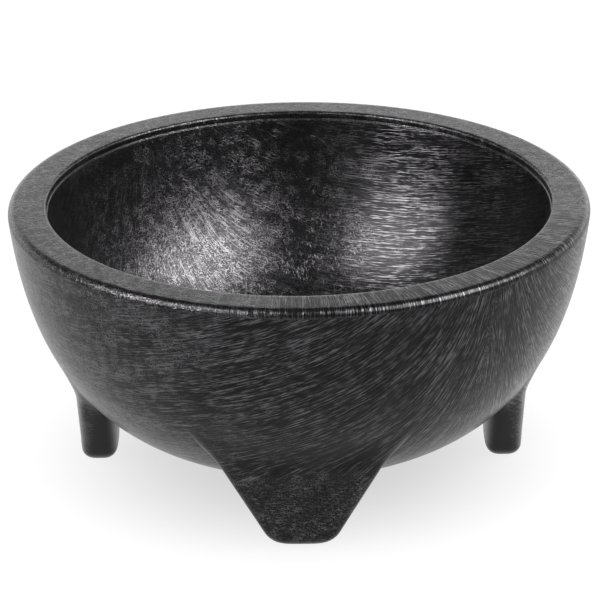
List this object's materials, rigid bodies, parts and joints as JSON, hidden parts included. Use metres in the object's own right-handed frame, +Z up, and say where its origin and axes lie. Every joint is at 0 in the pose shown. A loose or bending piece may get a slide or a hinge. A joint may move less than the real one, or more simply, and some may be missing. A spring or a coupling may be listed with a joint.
{
  "type": "molcajete bowl",
  "caption": "Thick-walled round mortar-style serving bowl in moulded stone-look plastic, standing on short splayed trapezoidal feet.",
  "frame": {"origin": "centre of the four feet, on the ground under the middle of the bowl", "axes": "+Z up along the bowl's axis, -Y towards the front foot, +X towards the right foot"},
  "size_m": [0.2032, 0.2032, 0.0972],
  "materials": {
    "charcoal_plastic": "satin, streaked with lighter grey fibres"
  },
  "bodies": {
    "root": {"bowl": "charcoal_plastic", "foot_front": "charcoal_plastic", "foot_right": "charcoal_plastic", "foot_back": "charcoal_plastic", "foot_left": "charcoal_plastic"}
  },
  "joints": []
}
